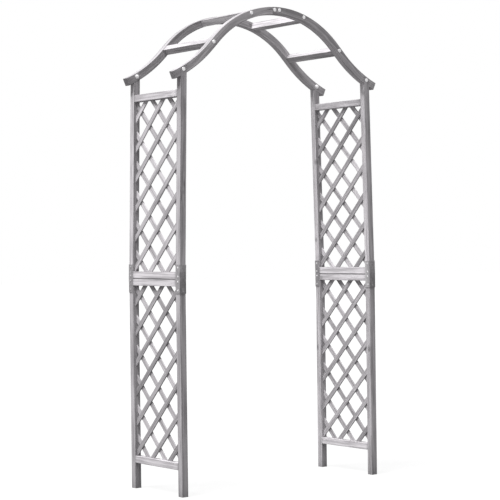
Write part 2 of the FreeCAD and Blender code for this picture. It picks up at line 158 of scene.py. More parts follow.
class Board:
    """A node tree being filled: add() makes one node and hands back the output asked for."""

    def __init__(self, tree):
        self.tree = tree
        self.pins = {}
        tree.nodes.clear()

    def add(self, kind, settings=None, sockets=None, output=0):
        node = self.tree.nodes.new(kind)
        for name, value in (settings or {}).items():
            setattr(node, name, value)
        for key, value in (sockets or {}).items():
            for one in value if isinstance(value, list) else [value]:
                feed(node.inputs[key], one)
        return Wire(node.outputs[output]) if len(node.outputs) else node

    def vector(self, operation, *values):
        sockets = dict(enumerate(values))
        return self.add("ShaderNodeVectorMath", {"operation": operation}, sockets)

    def scale(self, vector, factor):
        return self.add("ShaderNodeVectorMath", {"operation": "SCALE"}, {0: vector, 3: factor})

    def blend(self, factor, first, second):
        """Mix of two colours."""
        return self.add("ShaderNodeMix", {"data_type": "RGBA"}, {0: factor, 6: first, 7: second}, 2)

    def noise(self, vector, scale, detail=2.0, roughness=0.5, distortion=0.0):
        return self.add("ShaderNodeTexNoise", {}, {
            "Vector": vector, "Scale": scale, "Detail": detail, "Roughness": roughness,
            "Distortion": distortion}, "Fac")

    def parts(self, vector):
        """The three parts of a vector."""
        node = self.add("ShaderNodeSeparateXYZ", {}, {0: vector}).socket.node
        return [Wire(output) for output in node.outputs]

    def to_the_eye(self):
        """One for rays that are seen, directly or in a reflection, and zero for light."""
        rays = self.add("ShaderNodeLightPath").socket.node.outputs
        seen = Wire(rays["Is Camera Ray"])
        for kind in ("Is Glossy Ray", "Is Transmission Ray"):
            seen = seen.math("MAXIMUM", seen, Wire(rays[kind]))
        return seen

    def ramp(self, value, low, high, start=0.0, end=1.0):
        """Smooth step from start to end while value goes from low to high."""
        return self.add("ShaderNodeMapRange", {"interpolation_type": "SMOOTHSTEP"},
                        {0: value, 1: low, 2: high, 3: start, 4: end})


# Materials

def new_finish(name):
    material = bpy.data.materials.new(name)
    material.use_nodes = True
    return material, Board(material.node_tree)


def surface(board, **sockets):
    """The shader at the end of a material, with its sockets named as words joined by _."""
    named = {name.replace("_", " "): value for name, value in sockets.items()}
    shader = board.add("ShaderNodeBsdfPrincipled", {}, named)
    board.add("ShaderNodeOutputMaterial", {}, {"Surface": shader})


# The timber's figure

# Rings and knots are in metres. A stretch or a shape draws its marks out along the wood, and the
# noises count their marks to a metre across it
RING_SPACING = 0.0042
RING_WARP = 0.012
KNOT_CELL = (0.075, 0.075, 0.42)
KNOT_SHAPE = (1.0, 1.0, 0.7)
KNOT_CORE = 0.006
KNOT_RADIUS = 0.010
KNOT_RIM = 0.004
KNOT_RAGGEDNESS = 0.008
RINGS_BENT_WITHIN = 0.035
RINGS_BENT_BY = 0.006
FIBRE_STRETCH = (1.0, 1.0, 0.03)
CHECK_STRETCH = (1.0, 1.0, 0.012)
PATCH_STRETCH = (1.0, 1.0, 0.4)
PATCHES, WARPS, CHECKS, FIBRES = 14.0, 16.0, 70.0, 420.0
STREAK_CONTRAST, PATCH_CONTRAST, FIBRE_CONTRAST = 2.7, 1.1, 1.2
RING_CONTRAST, END_RING_CONTRAST = 0.16, 0.4
DAMP_HEIGHT = 0.20
DAMP_TONE = 0.82


def timber_finish(name, pale, dark, streak_size, knots):
    """Weathered softwood: growth rings round a pith, streaks, fibres, knots and drying checks."""
    material, board = new_finish(name)
    grain = board.add("ShaderNodeAttribute", {"attribute_name": "grain"}, output="Vector")
    tone = board.add("ShaderNodeAttribute", {"attribute_name": "tone"}, output="Fac")
    end_grain = board.add("ShaderNodeAttribute", {"attribute_name": "end_grain"}, output="Fac")
    section = board.add("ShaderNodeAttribute", {"attribute_name": "section"}, output="Vector")
    place = board.add("ShaderNodeTexCoord", output="Object")
    height = board.parts(place)[2]

    along_fibres = board.vector("MULTIPLY", grain, FIBRE_STRETCH)
    along_checks = board.vector("MULTIPLY", grain, CHECK_STRETCH)
    patch = board.noise(board.vector("MULTIPLY", grain, PATCH_STRETCH), PATCHES, 2.0)

    # Knots: one feature in each long cell of the wood, and the rings bend round it
    in_cells = board.vector("DIVIDE", grain, KNOT_CELL)
    nearest = board.add("ShaderNodeTexVoronoi", {}, {"Vector": in_cells, "Scale": 1.0}, "Position")
    gap = board.vector("MULTIPLY", board.vector("SUBTRACT", nearest, in_cells), KNOT_CELL)
    flat_gap = board.vector("MULTIPLY", gap, KNOT_SHAPE)
    from_knot = board.add("ShaderNodeVectorMath", {"operation": "LENGTH"}, {0: flat_gap}, "Value")
    from_knot = from_knot + (patch - 0.5) * KNOT_RAGGEDNESS
    knot = board.ramp(from_knot, KNOT_CORE, KNOT_RADIUS, knots, 0.0)
    knot_rim = board.ramp(abs(from_knot - KNOT_RADIUS), 0.0, KNOT_RIM, knots, 0.0)
    bend = board.ramp(from_knot, 0.0, RINGS_BENT_WITHIN, RINGS_BENT_BY, 0.0)

    across, through, _ = board.parts(grain)
    warp = board.noise(along_fibres, WARPS, 2.0)
    from_pith = (across * across + through * through) ** 0.5 + (warp - 0.5) * RING_WARP + bend
    turns = from_pith * (2 * pi / RING_SPACING)
    ring = turns.math("SINE", turns) * 0.5 + 0.5
    late_wood = ring ** 3.0

    streak = board.noise(along_fibres, 1.0 / streak_size, 3.0, 0.6)
    fibre = board.noise(along_fibres, FIBRES, 3.0, 0.6)
    check_line = abs(board.noise(along_checks, CHECKS, 1.0) - 0.5)
    check = board.ramp(check_line, 0.002, 0.010, 1.0, 0.0) * board.ramp(patch, 0.52, 0.62)

    wander = streak - 0.5
    shade = (0.5 + wander * STREAK_CONTRAST + (patch - 0.5) * PATCH_CONTRAST
             + (fibre - 0.5) * FIBRE_CONTRAST
             - (late_wood - 0.3) * (RING_CONTRAST + END_RING_CONTRAST * end_grain))
    colour = board.blend(board.ramp(shade, 0.0, 1.0), dark, pale)

    # Damp darkens the feet and the ends; painted shade darkens the arrises, and a line of painted
    # shade lies where the lower and upper panels meet
    damp = board.ramp(height + wander * 0.08, 0.0, DAMP_HEIGHT, DAMP_TONE, 1.0)
    one_way, other_way, along = (abs(part) for part in board.parts(section))
    # Painted shade along the rounded arrises
    arris_shade = board.ramp(one_way.math("MINIMUM", one_way, other_way) + wander * 0.12, 0.78, 0.95)
    soaked = board.ramp(along + wander * 0.08, 0.90, 1.0)
    # Painted shade: a dark line in the joint where the lower and upper panels meet
    joint_shade = board.ramp(abs(height - LOWER_LENGTH) + wander * 0.002, 0.001, 0.0045, 1.0, 0.0)

    # Each mark takes its own share of the light
    strength = tone * damp
    for mark, share in ((check, 0.55), (knot, 0.42), (knot_rim, 0.22), (end_grain, 0.22),
                        (arris_shade, 0.16), (soaked, 0.2), (joint_shade, 0.6)):
        strength = strength * (1.0 - share * mark)
    relief = fibre * 0.35 + streak * 0.4 - late_wood * 0.25 - check * 1.6 - knot_rim * 0.3
    bump = board.add("ShaderNodeBump", {}, {"Strength": 0.55, "Distance": 0.0007, "Height": relief})
    surface(board, Base_Color=board.scale(colour, strength),
            Roughness=0.92 - 0.16 * ring * (1.0 - check), Normal=bump, Specular_IOR_Level=0.25)
    return material


STAIN_COLOUR = (0.46, 0.45, 0.46, 1.0)
# Painted light: the colour that lit flanges are lightened towards
PAINTED_LIGHT_COLOUR = (0.52, 0.51, 0.52, 1.0)


def steel_finish(name, bright, dull, metallic, shine, spangle_size, roughness):
    """Zinc-coated steel: dull and bright crystals, smears, a few stains, and painted light where
    marked.
    """
    material, board = new_finish(name)
    place = board.add("ShaderNodeTexCoord", output="Object")
    bloom = board.add("ShaderNodeAttribute", {"attribute_name": "bloom"}, output="Fac")
    crystal = board.add("ShaderNodeTexVoronoi", {}, {"Vector": place, "Scale": 1.0 / spangle_size},
                        "Color")
    crystal_shade = board.add("ShaderNodeSeparateXYZ", {}, {0: crystal})
    smear = board.noise(place, 90.0, 3.0, 0.6)
    stain = board.ramp(board.noise(place, 38.0, 2.0), 0.58, 0.70)
    shade = 0.55 + (crystal_shade - 0.5) * 0.35 + (smear - 0.5) * 1.4
    colour = board.blend(board.ramp(shade, 0.0, 1.0), dull, bright)
    colour = board.blend(stain * 0.35, colour, STAIN_COLOUR)
    # Painted light, where the mesh marks it
    colour = board.blend(bloom, colour, PAINTED_LIGHT_COLOUR)
    relief = smear * 0.6 + crystal_shade * 0.2
    bump = board.add("ShaderNodeBump", {}, {"Strength": 0.3, "Distance": 0.0002, "Height": relief})
    surface(board, Base_Color=colour, Metallic=metallic * (1.0 - 0.6 * stain),
            Roughness=roughness + (smear - 0.5) * 0.3 + stain * 0.2, Normal=bump,
            Specular_IOR_Level=shine)
    return material


SAWN_TIMBER = timber_finish(
    "weathered_grey_timber", pale=(0.475, 0.457, 0.475, 1.0), dark=(0.272, 0.260, 0.272, 1.0),
    streak_size=0.009, knots=1.0)
SLAT_TIMBER = timber_finish(
    "weathered_slat_timber", pale=(0.52, 0.50, 0.52, 1.0), dark=(0.30, 0.287, 0.30, 1.0),
    streak_size=0.007, knots=0.5)
SHEET_STEEL = steel_finish(
    "galvanised_sheet", bright=(0.275, 0.265, 0.275, 1.0), dull=(0.175, 0.168, 0.175, 1.0),
    metallic=0.06, shine=0.22, spangle_size=0.004, roughness=0.62)
BRIGHT_ZINC = steel_finish(
    "bright_zinc_fastener", bright=(0.93, 0.92, 0.93, 1.0), dull=(0.74, 0.73, 0.74, 1.0),
    metallic=0.6, shine=0.5, spangle_size=0.0022, roughness=0.34)
WORN_ZINC = steel_finish(
    "worn_zinc_screw", bright=(0.90, 0.89, 0.90, 1.0), dull=(0.36, 0.35, 0.36, 1.0),
    metallic=0.5, shine=0.5, spangle_size=0.0022, roughness=0.4)
DULL_ZINC = steel_finish(
    "dull_zinc_nail", bright=(0.42, 0.41, 0.42, 1.0), dull=(0.24, 0.23, 0.24, 1.0),
    metallic=0.3, shine=0.5, spangle_size=0.0015, roughness=0.5)


# Making pieces

def new_object(name, mesh):
    item = bpy.data.objects.new(name, mesh)
    bpy.context.scene.collection.objects.link(item)
    return item


def settle(worked, place=None):
    """Bake an object's modifiers into a plain mesh whose object sits at the origin."""
    view = bpy.context.evaluated_depsgraph_get()
    mesh = bpy.data.meshes.new_from_object(worked.evaluated_get(view))
    name = worked.name
    bpy.data.objects.remove(worked)
    if place is not None:
        mesh.transform(place)
    mesh.name = name
    return new_object(name, mesh)


def round_edges(item, width, segments, turn=None, clamp=False):
    """Round the edges that turn by more than turn, or where none is given the weighted ones."""
    bevel = item.modifiers.new("Arris", "BEVEL")
    bevel.width = width
    bevel.segments = segments
    bevel.use_clamp_overlap = clamp
    bevel.limit_method = "ANGLE" if turn else "WEIGHT"
    if turn:
        bevel.angle_limit = turn


def fit(piece, slot, *nodes):
    """A finished piece rides on the arch's one body and stands for its CAD nodes."""
    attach(piece, "root")
    if nodes:
        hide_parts(*nodes)


def points_of(mesh):
    flat = np.empty(len(mesh.vertices) * 3)
    mesh.vertices.foreach_get("co", flat)
    return flat.reshape(-1, 3)


def write_values(mesh, name, kind, values):
    layer = mesh.attributes.new(name, kind, "POINT")
    layer.data.foreach_set("vector" if kind == "FLOAT_VECTOR" else "value",
                           np.asarray(values, np.float32).ravel())


def write_wood(mesh, own, half_size, pith, tone, ends):
    """Keep each point's place in its own timber, from the pith and as a share of its half size.

    own holds the two ways across and the way along; ends marks the points on sawn ends.
    """
    write_values(mesh, "grain", "FLOAT_VECTOR", own + pith)
    write_values(mesh, "section", "FLOAT_VECTOR", own / half_size)
    write_values(mesh, "tone", "FLOAT", np.broadcast_to(tone, len(own)))
    write_values(mesh, "end_grain", "FLOAT", ends)


def new_pith():
    """Where a timber's pith runs beside it, and how far along the wood it starts."""
    turn = chance.uniform(0, 2 * pi)
    away = PITH_DISTANCE * chance.uniform(*PITH_SPREAD)
    return np.array([away * cos(turn), away * sin(turn), chance.uniform(0, WOOD_RUN)])


# Eased timbers, one for each CAD timber

def side_place(side):
    return Matrix.Rotation(0 if side == RIGHT else pi, 4, "Z")


def panel_place(side, upper):
    """Frame of a side panel: zero at the inner lower edge, Z along its posts."""
    foot = Matrix.Translation((INNER_X, 0, LOWER_LENGTH if upper else 0))
    return side_place(side) @ foot @ Matrix.Rotation(-LEAN if upper else 0, 4, "Y")


def s_curve(x, z):
    """Length along the arch rail from the crown, and offset from its middle line."""
    middle, inner = CROWN_RADIUS - BAND / 2, TAIL_RADIUS + BAND / 2
    turn = atan2(x, z - CROWN_Z)
    if turn <= CROWN_SLOPE:
        return middle * turn, hypot(x, z - CROWN_Z) - middle
    start = Vector((middle * sin(CROWN_SLOPE), CROWN_Z + middle * cos(CROWN_SLOPE)))
    gone = Vector((x, z)) - start
    run = gone.dot(Vector((cos(CROWN_SLOPE), -sin(CROWN_SLOPE))))
    if run <= SHOULDER_RUN:
        return middle * CROWN_SLOPE + run, gone.dot(Vector((sin(CROWN_SLOPE), cos(CROWN_SLOPE))))
    turn = atan2(TAIL_X - x, TAIL_Z - z)
    length = middle * CROWN_SLOPE + SHOULDER_RUN + inner * (CROWN_SLOPE - turn)
    return length, inner - hypot(TAIL_X - x, TAIL_Z - z)


# What counts as one point, one flat face, a sharp edge, on the surface, and along the wood
SAME_POINT = 0.00002
SAME_FACE = radians(0.2)
SHARP_TURN = radians(30)
ON_SURFACE = 0.0004
ALONG_WOOD = 0.95


def ease(node, own_place, half_section, easing):
    """A copy of a CAD timber with its long arrises rounded and its sawn ends just broken."""
    shape = bmesh.new()
    shape.from_mesh(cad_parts[node].data)
    bmesh.ops.remove_doubles(shape, verts=shape.verts, dist=SAME_POINT)
    bmesh.ops.dissolve_limit(shape, angle_limit=SAME_FACE, verts=shape.verts, edges=shape.edges)
    rounding = shape.edges.layers.float.new("bevel_weight_edge")
    for edge in shape.edges:
        if len(edge.link_faces) != 2 or edge.calc_face_angle() < SHARP_TURN:
            continue
        first, last = (own_place(vertex.co) for vertex in edge.verts)
        lengthwise = abs(first[2] - last[2]) > ALONG_WOOD * edge.calc_length()
        outside = all(abs(abs(end[i]) - half_section[i]) < ON_SURFACE
                      for end in (first, last) for i in (0, 1))
        edge[rounding] = 1.0 if lengthwise and outside else SAWN_END_EASING / easing
    mesh = bpy.data.meshes.new(f"{node}_timber")
    shape.to_mesh(mesh)
    shape.free()
    mesh.shade_smooth()
    mesh.materials.clear()
    mesh.materials.append(SAWN_TIMBER)
    eased = new_object(f"{node}_timber", mesh)
    round_edges(eased, easing, 3)
    eased.modifiers.new("Facing", "WEIGHTED_NORMAL").keep_sharp = True
    return settle(eased)


def timber(node, own_place, half_section, easing):
    """A finished timber: eased, and each point marked with its place in the wood and its tone."""
    piece = ease(node, own_place, half_section, easing)
    mesh = piece.data
    own = np.array([own_place(vertex.co) for vertex in mesh.vertices])
    ends = np.zeros(len(own))
    # A face is a sawn end where a step off it is a step along the wood
    step = 0.001
    for face in mesh.polygons:
        ahead = own_place(face.center + face.normal * step)[2] - own_place(face.center)[2]
        if abs(ahead) > 0.8 * step:
            ends[list(face.vertices)] = 1.0
    own[:, 2] -= (own[:, 2].min() + own[:, 2].max()) / 2
    # Painted light and shade: the tone passes from one pair of faces to the other across the
    # arrises
    out = half_section - abs(own[:, :2])
    across_side = np.clip((out[:, 1] - out[:, 0]) / easing / 2 + 0.5, 0, 1)
    tone = np.interp(across_side, (0, 1), TONES_AND_FACE_LIGHT[node][::-1])
    half_size = (*half_section, np.ptp(own[:, 2]) / 2)
    write_wood(mesh, own, half_size, new_pith(), tone, ends)
    fit(piece, "weathered_timber", node)


def straight(node, place, axis, easing):
    """A straight timber whose wood runs along one axis of its place."""
    back = place.inverted()
    corners = [back @ vertex.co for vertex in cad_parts[node].data.vertices]
    middle = [(min(c[i] for c in corners) + max(c[i] for c in corners)) / 2 for i in range(3)]
    order = [i for i in range(3) if i != axis] + [axis]

    def own_place(point):
        local = back @ point
        return [local[i] - middle[i] for i in order]

    timber(node, own_place, (POST_SIDE / 2, POST_SIDE / 2), easing)


def arch_rail(node, side, level_y):
    """Half an arch rail, whose wood is taken to follow its curve."""
    def own_place(point):
        length, offset = s_curve(side * point.x, point.z)
        return [offset, point.y - level_y, length]

    timber(node, own_place, (BAND / 2, POST_SIDE / 2), ARCH_EASING)


def crossbar_place(side, turn, shoulder):
    """Frame of a crossbar, from its turn round the crown and its way down the shoulder."""
    middle = CROWN_RADIUS - BAND / 2
    spot = Matrix.Rotation(turn, 4, "Y") @ Vector((shoulder, 0, middle))
    place = Matrix.Translation((spot.x, 0, CROWN_Z + spot.z)) @ Matrix.Rotation(turn, 4, "Y")
    return side_place(side) @ place


# The axis of its place that a timber's wood runs along
UPRIGHT, CROSSWAYS = 2, 1

# Each side's crossbars: the turn round the crown and the way down the shoulder
CROSSBARS = {"inner": (radians(18.1), 0), "outer": (CROWN_SLOPE, SHOULDER_RUN / 2)}

# How pale each timber is on its faces left and right (an arch rail's upper and lower ones), then on
# its other two: a timber's overall tone is its own bleached paleness, and the difference between
# its two pairs of faces is painted light and shade, as light falls on each side
TONES_AND_FACE_LIGHT = {
    "front_left_lower_post": (0.85, 0.95), "front_left_upper_post": (0.95, 0.95),
    "rear_left_lower_post": (0.9, 0.95), "rear_left_upper_post": (1.2, 0.85),
    "front_right_lower_post": (1.0, 1.0), "front_right_upper_post": (1.4, 1.05),
    "rear_right_lower_post": (1.15, 1.15), "rear_right_upper_post": (1.3, 1.0),
    "front_left_arch_rail": (1.05, 1.15), "rear_left_arch_rail": (0.95, 0.95),
    "front_right_arch_rail": (1.2, 1.0), "rear_right_arch_rail": (1.2, 1.15),
    "left_bottom_rail": (1.2, 1.2), "left_lower_mid_rail": (1.25, 1.1),
    "left_upper_mid_rail": (1.25, 1.1), "left_top_rail": (1.35, 1.1),
    "right_bottom_rail": (1.5, 1.2), "right_lower_mid_rail": (1.45, 1.1),
    "right_upper_mid_rail": (1.65, 1.1), "right_top_rail": (1.4, 1.1),
    "left_inner_crossbar": (1.05, 1.05), "left_outer_crossbar": (1.15, 1.15),
    "right_inner_crossbar": (1.5, 1.05), "right_outer_crossbar": (1.1, 1.05)}

# How pale the slats are: in each lattice's layer near the walkway, then in its far one
SLAT_TONES = {"left_upper": (1.0, 1.0), "left_lower": (0.85, 0.65),
              "right_upper": (0.8, 1.2), "right_lower": (0.8, 0.95)}


def dress_timbers():
    for side_name, side in SIDES.items():
        for level in ("bottom", "lower_mid", "upper_mid", "top"):
            place = panel_place(side, level in ("upper_mid", "top"))
            straight(f"{side_name}_{level}_rail", place, CROSSWAYS, RAIL_EASING)
        for level, (turn, shoulder) in CROSSBARS.items():
            place = crossbar_place(side, turn, shoulder)
            straight(f"{side_name}_{level}_crossbar", place, CROSSWAYS, RAIL_EASING)
        for frame_name, way in FRAMES.items():
            name = f"{frame_name}_{side_name}"
            straight(f"{name}_lower_post", side_place(side), UPRIGHT, POST_EASING)
            straight(f"{name}_upper_post", panel_place(side, True), UPRIGHT, POST_EASING)
            arch_rail(f"{name}_arch_rail", side, way * POST_Y)


# Repeated pieces, grown by node trees

def new_tree(name, inputs):
    """A geometry tree with named inputs: each is a kind of socket."""
    tree = bpy.data.node_groups.new(name, "GeometryNodeTree")
    tree.interface.new_socket("Geometry", in_out="INPUT", socket_type="NodeSocketGeometry")
    for label, kind in inputs.items():
        tree.interface.new_socket(label, in_out="INPUT", socket_type=f"NodeSocket{kind}")
    tree.interface.new_socket("Geometry", in_out="OUTPUT", socket_type="NodeSocketGeometry")
    board = Board(tree)
    entry = board.add("NodeGroupInput").socket.node
    board.pins = {label: Wire(entry.outputs[label]) for label in ["Geometry", *inputs]}
    return board


def close_tree(board, geometry):
    """Every tree ends the same way: real geometry, and its material on it."""
    real = board.add("GeometryNodeRealizeInstances", {}, {"Geometry": geometry})
    coated = board.add("GeometryNodeSetMaterial", {},
                       {"Geometry": real, "Material": board.pins["Material"]})
    board.add("NodeGroupOutput", {}, {"Geometry": coated})
    return board.tree


def vector_of(board, x=0.0, y=0.0, z=0.0):
    return board.add("ShaderNodeCombineXYZ", {}, {0: x, 1: y, 2: z})


def moved(board, geometry, translation=(0, 0, 0), rotation=(0, 0, 0), scale=(1, 1, 1)):
    turn = board.add("FunctionNodeEulerToRotation", {}, {0: rotation})
    return board.add("GeometryNodeTransform", {}, {
        "Geometry": geometry, "Translation": translation, "Rotation": turn, "Scale": scale})


def joined(board, *geometries):
    return board.add("GeometryNodeJoinGeometry", {}, {"Geometry": list(geometries)})


def slat_row_tree():
    """Parallel slats, one pitch apart up the panel, cut off square to the panel's opening."""
    board = new_tree("slat_row", {
        "Slat Length": "Float", "Slat Width": "Float", "Slat Thickness": "Float",
        "Turn": "Float", "Pitch": "Float", "Lowest": "Float", "Count": "Int", "Layer": "Float",
        "Opening Width": "Float", "Opening Height": "Float", "Material": "Material"})
    pins = board.pins
    size = vector_of(board, pins["Slat Thickness"], pins["Slat Width"], pins["Slat Length"])
    slat = board.add("GeometryNodeMeshCube", {}, {"Size": size}, "Mesh")
    slanted = moved(board, slat, rotation=vector_of(board, x=pins["Turn"]))
    spots = board.add("GeometryNodeMeshLine", {"mode": "OFFSET"}, {
        "Count": pins["Count"], "Offset": vector_of(board, z=pins["Pitch"]),
        "Start Location": vector_of(board, x=pins["Layer"], z=pins["Lowest"])})
    row = board.add("GeometryNodeInstanceOnPoints", {}, {"Points": spots, "Instance": slanted})
    slats = board.add("GeometryNodeRealizeInstances", {}, {"Geometry": row})
    opening = board.add("GeometryNodeMeshCube", {}, {"Size": vector_of(
        board, POST_SIDE, pins["Opening Width"], pins["Opening Height"])}, "Mesh")
    window = moved(board, opening, vector_of(board, z=pins["Opening Height"] * 0.5))
    cut = board.add("GeometryNodeMeshBoolean", {"operation": "INTERSECT", "solver": "EXACT"},
                    {"Mesh 2": [slats, window]}, "Mesh")
    return close_tree(board, cut)


def crossing_pin_tree():
    """A flat-headed pin at every crossing of the slats: two grids, half a pitch apart."""
    board = new_tree("crossing_pins", {
        "Columns": "Int", "Rows": "Int", "Column Step": "Float", "Row Step": "Float",
        "Lowest": "Float", "Layer": "Float", "Head Radius": "Float", "Head Rise": "Float",
        "Material": "Material"})
    pins = board.pins
    grids = []
    for fewer in (0, 1):
        columns, rows = pins["Columns"] - fewer, pins["Rows"] - fewer
        grid = board.add("GeometryNodeMeshGrid", {}, {
            "Size X": pins["Column Step"] * (columns - 1), "Size Y": pins["Row Step"] * (rows - 1),
            "Vertices X": columns, "Vertices Y": rows}, "Mesh")
        middle = pins["Lowest"] + pins["Row Step"] * (pins["Rows"] - 1) * 0.5
        grids.append(moved(board, grid, vector_of(board, x=pins["Layer"], z=middle),
                           (pi / 2, 0, pi / 2)))
    ball = board.add("GeometryNodeMeshUVSphere", {}, {
        "Segments": 12, "Rings": 6, "Radius": 1.0}, "Mesh")
    head = moved(board, ball, scale=vector_of(board, pins["Head Rise"], pins["Head Radius"],
                                              pins["Head Radius"]))
    spread = board.add("GeometryNodeInstanceOnPoints", {}, {
        "Points": joined(board, *grids), "Instance": head})
    return close_tree(board, spread)


def instanced_on_seats(board, part):
    """A part stood on each point of the object's mesh, its Z along the point's facing."""
    facing = board.add("GeometryNodeInputNamedAttribute", {"data_type": "FLOAT_VECTOR"},
                       {"Name": "facing"})
    turn = board.add("FunctionNodeAlignRotationToVector", {"axis": "Z"}, {"Vector": facing})
    return board.add("GeometryNodeInstanceOnPoints", {}, {
        "Points": board.pins["Geometry"], "Instance": part, "Rotation": turn})


def dome_tree():
    """Domed bolt heads drawn down onto the wood."""
    board = new_tree("dome_heads", {"Radius": "Float", "Rise": "Float", "Material": "Material"})
    ball = board.add("GeometryNodeMeshUVSphere", {}, {
        "Segments": 32, "Rings": 16, "Radius": 1.0}, "Mesh")
    radius = board.pins["Radius"]
    dome = moved(board, ball, scale=vector_of(board, radius, radius, board.pins["Rise"]))
    return close_tree(board, instanced_on_seats(board, dome))


def nut_tree():
    """Washer, hexagon nut and the end of its bolt."""
    board = new_tree("washers_and_nuts", {
        "Washer Radius": "Float", "Washer Thickness": "Float", "Nut Radius": "Float",
        "Nut Height": "Float", "Bolt Radius": "Float", "Bolt Proud": "Float",
        "Material": "Material"})
    pins = board.pins

    def drum(vertices, radius, start, height):
        round_bar = board.add("GeometryNodeMeshCylinder", {}, {
            "Vertices": vertices, "Radius": radius, "Depth": height}, "Mesh")
        return moved(board, round_bar, vector_of(board, z=start + height * 0.5))

    washer = drum(36, pins["Washer Radius"], pins["Washer Thickness"] * -0.25,
                  pins["Washer Thickness"] * 1.25)
    nut = drum(6, pins["Nut Radius"], pins["Washer Thickness"], pins["Nut Height"])
    bolt = drum(20, pins["Bolt Radius"], pins["Washer Thickness"],
                pins["Nut Height"] + pins["Bolt Proud"])
    return close_tree(board, instanced_on_seats(board, joined(board, washer, nut, bolt)))


def screw_tree():
    """Round screw heads with a cross recess."""
    board = new_tree("cross_screws", {
        "Radius": "Float", "Rise": "Float", "Slot Length": "Float", "Slot Width": "Float",
        "Material": "Material"})
    pins = board.pins
    ball = board.add("GeometryNodeMeshUVSphere", {}, {
        "Segments": 20, "Rings": 10, "Radius": 1.0}, "Mesh")
    dome = moved(board, ball, scale=vector_of(board, pins["Radius"], pins["Radius"], pins["Rise"]))
    slots = []
    for turn in (0, pi / 2):
        bar = board.add("GeometryNodeMeshCube", {}, {"Size": vector_of(
            board, pins["Slot Length"], pins["Slot Width"], pins["Rise"])}, "Mesh")
        slots.append(moved(board, bar, vector_of(board, z=pins["Rise"]), (0, 0, turn)))
    head = board.add("GeometryNodeMeshBoolean", {"operation": "DIFFERENCE", "solver": "EXACT"},
                     {"Mesh 1": dome, "Mesh 2": slots}, "Mesh")
    return close_tree(board, instanced_on_seats(board, head))


def grown(name, tree, values, source=None, easing=0.0, place=None):
    """An object grown by a tree, with its edges eased if asked, made into a plain mesh."""
    item = new_object(name, source or bpy.data.meshes.new(name))
    growth = item.modifiers.new("Growth", "NODES")
    growth.node_group = tree
    labels = {socket.name: socket.identifier for socket in tree.interface.items_tree
              if socket.in_out == "INPUT"}
    for label, value in values.items():
        growth[labels[label]] = value
    if easing:
        round_edges(item, easing, 2, radians(40))
    return settle(item, place)


def seats(name, spots):
    """A mesh of loose points, each with the way its fastener faces."""
    mesh = bpy.data.meshes.new(name)
    mesh.from_pydata([spot for spot, facing in spots], [], [])
    write_values(mesh, "facing", "FLOAT_VECTOR", [facing for spot, facing in spots])
    return mesh


# Lattices

SLAT_SPARE = 1.2
PIN_RADIUS = 0.0022
PIN_RISE = 0.0006


def slat_layer(name, tree, place, opening, pitch, rising, layer, tone):
    """One layer of slats, with each slat's own grain and tone.

    The slats start longer than they need to be, and the tree cuts them off at the opening.
    """
    slope = pitch / COLUMN_STEP
    rise = PANEL_WIDTH * slope
    upright = SLAT_WIDTH * sqrt(1 + slope ** 2)
    below = floor((END_MARGIN + (rise + upright) / 2) / pitch)
    lowest = END_MARGIN - below * pitch
    count = floor((opening + (rise + upright) / 2 - lowest) / pitch) + 1
    turn = (atan2(slope, 1) - pi / 2) * (1 if rising else -1)
    middle = layer * SLAT_THICKNESS / 2
    piece = grown(name, tree, {
        "Slat Length": SLAT_SPARE * hypot(PANEL_WIDTH, rise) + 2 * SLAT_WIDTH,
        "Slat Width": SLAT_WIDTH, "Slat Thickness": SLAT_THICKNESS, "Turn": turn, "Pitch": pitch,
        "Lowest": lowest, "Count": count, "Layer": middle, "Opening Width": PANEL_WIDTH,
        "Opening Height": opening, "Material": SLAT_TIMBER}, easing=SLAT_EASING)
    along = Vector((0, 1, slope if rising else -slope)).normalized()
    piths = np.array([new_pith() for _ in range(count)])
    tones = tone * chance.uniform(*SLAT_TONE_SPREAD, count)
    mesh = piece.data
    x, y, z = points_of(mesh).T
    level = (z - y * along.z / along.y - lowest) / pitch
    number = np.clip(np.rint(level).astype(int), 0, count - 1)
    own = np.column_stack([x - middle, (level - number) * pitch * along.y,
                           y * along.y + z * along.z])
    ends = np.zeros(len(own))
    for face in mesh.polygons:
        if abs(face.normal.dot(along)) > 0.5:
            ends[list(face.vertices)] = 1.0
    half_size = (SLAT_THICKNESS / 2, SLAT_WIDTH / 2, np.inf)
    write_wood(mesh, own, half_size, piths[number], tones[number], ends)
    mesh.transform(place)
    return piece


def dress_lattices():
    slat_tree, pin_tree = slat_row_tree(), crossing_pin_tree()
    for side_name, side in SIDES.items():
        for level, opening, foot in (("lower", LOWER_OPENING, BOTTOM_RAIL_LIFT + POST_SIDE),
                                     ("upper", UPPER_OPENING, POST_SIDE)):
            place = (panel_place(side, level == "upper")
                     @ Matrix.Translation((POST_SIDE / 2, 0, foot)))
            name = f"{side_name}_{level}"
            pitch = (opening - 2 * END_MARGIN) / LATTICE_ROWS
            # Along the panel's own Y the layer near the walkway falls and the far one rises
            for layer, rising, word in ((-1, False, "near"), (1, True, "far")):
                tone = SLAT_TONES[name][layer > 0]
                slats = slat_layer(f"{name}_{word}_slats", slat_tree, place, opening, pitch,
                                   rising, layer, tone)
                fit(slats, "lattice_timber", f"{name}_lattice")
                pins = grown(f"{name}_{word}_pins", pin_tree, {
                    "Columns": LATTICE_COLUMNS + 1, "Rows": LATTICE_ROWS + 1,
                    "Column Step": COLUMN_STEP, "Row Step": pitch, "Lowest": END_MARGIN,
                    "Layer": layer * SLAT_THICKNESS, "Head Radius": PIN_RADIUS,
                    "Head Rise": PIN_RISE, "Material": DULL_ZINC}, place=place)
                fit(pins, "galvanised_steel")


# Bolts

# X and Z of the bolts at the posts and at the crossbars, and of the pair through the crown's lap
POST_JOINT = (0.578, 2.063)
BAR_JOINTS = ((0.166, 2.3625), (0.397, 2.206))
CROWN_JOINT_Z = 2.388
CROWN_BOLT_X = (-0.020, 0.010)
BOLT_RADIUS = 0.0095
BOLT_RISE = 0.0022
NUT_EASING = 0.0004


